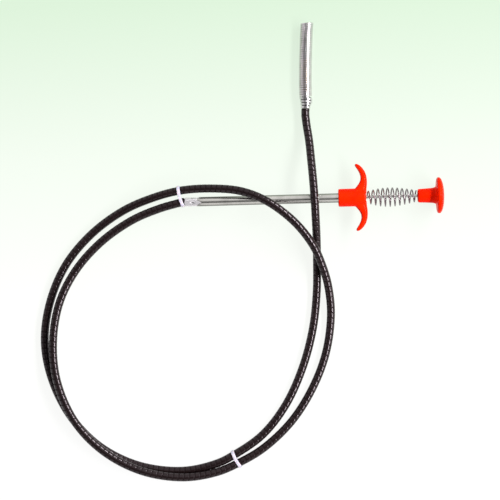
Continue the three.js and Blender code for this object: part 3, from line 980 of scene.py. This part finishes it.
def make_tie(name, node, ends, material):
    """A flat band round two strands, pulled in between them and slightly bent."""
    a, b = (Vector(ROUTE[i]) for i in ends)
    half = (b - a).length / 2
    inner = SHEATH_OD / 2 + 0.12 * MM
    thick, width = 0.55 * MM, 2.4 * MM
    pull = 0.35 * MM  # how far the band dips between the strands
    bend = 0.8 * MM  # how far its middle stands to one side of its ends
    count = 72
    outline = []
    for i in range(count):
        angle = 2 * math.pi * i / count
        centre = half if math.cos(angle) > 0 else -half
        outline.append((centre + inner * math.cos(angle), inner * math.sin(angle)))
    rings = []
    for start, end in zip(outline, outline[1:] + outline[:1]):
        pieces = max(1, round(math.dist(start, end) / (0.5 * MM)))
        for i in range(pieces):
            x, y = (p + (q - p) * i / pieces for p, q in zip(start, end))
            dip = pull * math.exp(-(x / (half * 0.6)) ** 2) if abs(x) < half else 0
            rings.append((x, y - math.copysign(dip, y) if abs(y) > inner / 2 else y))
    verts = []
    section = rounded(
        [(-width / 2, thick / 2), (-width / 2, 0), (width / 2, 0), (width / 2, thick),
         (-width / 2, thick), (-width / 2, thick / 2)], 0.14 * MM, 2)[:-1]
    total = len(rings)
    for i, (x, y) in enumerate(rings):
        before, after = rings[i - 1], rings[(i + 1) % total]
        tangent = Vector((after[0] - before[0], after[1] - before[1])).normalized()
        normal = Vector((tangent.y, -tangent.x))
        sideways = bend * (1 - (abs(x) / (half + inner)) ** 1.5)
        for across, out in section:
            verts.append((x + normal.x * out, across + sideways, y + normal.y * out))
    faces = ring_faces(total, len(section), closed=True)
    tie = new_piece(name, verts, faces, "handle", "white_tie", material)
    tie.location = (a + b) / 2
    tie.rotation_euler = (0, 0, math.atan2(b.y - a.y, b.x - a.x))
    tie.data.set_sharp_from_angle(angle=math.radians(50))
    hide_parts(node)
    return tie


# ---- Floor and light ----

def make_floor():
    """A plain floor with a glow of its own, white in front and pale green at the back."""
    reach, depth = 3.0, 0.2 * MM
    corners = ((-1, -1), (1, -1), (1, 1), (-1, 1))
    mesh = bpy.data.meshes.new("floor")
    mesh.from_pydata([(reach * x, reach * y, -depth) for x, y in corners], [], [(0, 1, 2, 3)])
    floor = add_object("floor", mesh)
    paint = Paint("pale_floor")
    paint.set(Roughness=0.9, Specular_IOR_Level=0.1, Emission_Strength=0.93)
    back = paint.spread(paint.axes()["Y"], 0, 1, -0.22, 0.155)
    tint = paint.ramp(back, [
        (0, (1.0, 1.0, 1.0)), (0.4, (0.97, 0.98, 0.955)), (0.68, (0.87, 0.94, 0.85)),
        (1, (0.7, 0.86, 0.68))])
    colour = paint.mix(1.0, tint, (0.06, 0.06, 0.06), "MULTIPLY")
    paint.link(tint, paint.shader.inputs["Emission Color"])
    mesh.materials.append(paint.finish(colour))


def make_surroundings():
    """A bright wall all round, brightest at +X, under a ceiling that is dim to -X and -Y."""
    wall_dim, wall_bright = 0.85, 1.0
    ceiling_dim, ceiling_bright = 0.08, 0.9
    scene = bpy.context.scene
    scene.view_settings.view_transform = "Standard"
    world = bpy.data.worlds.new("studio")
    scene.world = world
    world.use_nodes = True
    nodes, links = world.node_tree.nodes, world.node_tree.links
    place = nodes.new("ShaderNodeTexCoord")
    direction = nodes.new("ShaderNodeSeparateXYZ")
    links.new(place.outputs["Generated"], direction.inputs["Vector"])

    def spread(axis, from_low, from_high, low_value, high_value):
        """low_value to high_value, as a direction's part along axis goes from low to high."""
        made = nodes.new("ShaderNodeMapRange")
        made.interpolation_type = "SMOOTHSTEP"
        values = {"Value": direction.outputs[axis], "From Min": from_low,
                  "From Max": from_high, "To Min": low_value, "To Max": high_value}
        for name, value in values.items():
            if isinstance(value, bpy.types.NodeSocket):
                links.new(value, made.inputs[name])
            else:
                made.inputs[name].default_value = value
        return made.outputs["Result"]

    ceiling = spread("Y", -0.22, 0.4, ceiling_dim, ceiling_bright)
    ceiling = spread("X", -0.55, 0.1, ceiling_dim, ceiling)
    wall = spread("X", 0.3, 0.7, wall_dim, wall_bright)
    brightness = spread("Z", 0.62, 0.86, wall, ceiling)
    background = nodes["Background"]
    background.inputs["Color"].default_value = (1.0, 1.0, 1.0, 1)
    links.new(brightness, background.inputs["Strength"])


def make_strip_light():
    """One long soft light from +X, which draws the bright lines on the pieces."""
    place, target = Vector((1.2, 0.4, 1.35)), Vector((-0.05, 0.4, 0.0))
    data = bpy.data.lights.new("strip", "AREA")
    data.shape = "RECTANGLE"
    data.size, data.size_y = 3.0, 0.34
    data.energy = 104
    light = add_object("strip", data)
    light.location = place
    light.rotation_euler = (target - place).to_track_quat("-Z", "Y").to_euler()


# ---- Putting it together ----

def paint_node(node, material):
    """Gives a CAD node that stays in view its material."""
    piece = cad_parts[node]
    piece.data.materials.clear()
    piece.data.materials.append(material)


make_camera()
SHEATH, SHAFT_PATH = make_sheath(black_sheath("black_pvc"))

ORANGE = orange_plastic("orange_moulding")
TUBE_STEEL = drawn_steel("polished_tube_steel", crimped=True, dark_reflection_below=2.9 * MM)
ROD_STEEL = drawn_steel("polished_rod_steel", (0.7, 0.69, 0.67))
FERRULE_STEEL = drawn_steel(
    "crimped_steel", (0.78, 0.75, 0.77), (0.14, 0.3), (1, 1, 1), crimped=True)
SPRING_STEEL = spring_wire("return_spring_wire", (0.2, 0.165, 0.18), (0.12, 0.24))
TIP_STEEL = spring_wire("tip_spring_wire", (0.86, 0.79, 0.83), (0.14, 0.28))
CLAW_STEEL = spring_wire("claw_wire", (0.6, 0.59, 0.58))
BRASS = turned_brass("turned_brass")
CABLE = stranded_cable("stranded_cable")
BAND = white_band("white_band")

make_tube(TUBE_STEEL)
make_grip(ORANGE)
make_return_spring(SPRING_STEEL)
make_rod(ROD_STEEL)
make_button(ORANGE)
FERRULE = make_ferrule(FERRULE_STEEL)
TIP = make_tip_spring(TIP_STEEL)
CLAWS = make_claws(CLAW_STEEL)
TIES = [
    make_tie("upper_band_tie", "tie_upper", UPPER_TIE, BAND),
    make_tie("lower_band_tie", "tie_lower", LOWER_TIE, BAND),
]
for node_name in ("rod_bush", "rod_sleeve", "claw_collar"):
    paint_node(node_name, BRASS)
paint_node("core_cable", CABLE)
paint_node("conduit_spring", spring_wire("conduit_wire", (0.45, 0.44, 0.42), (0.3, 0.5)))

make_floor()
make_surroundings()
make_strip_light()

bpy.context.view_layer.update()
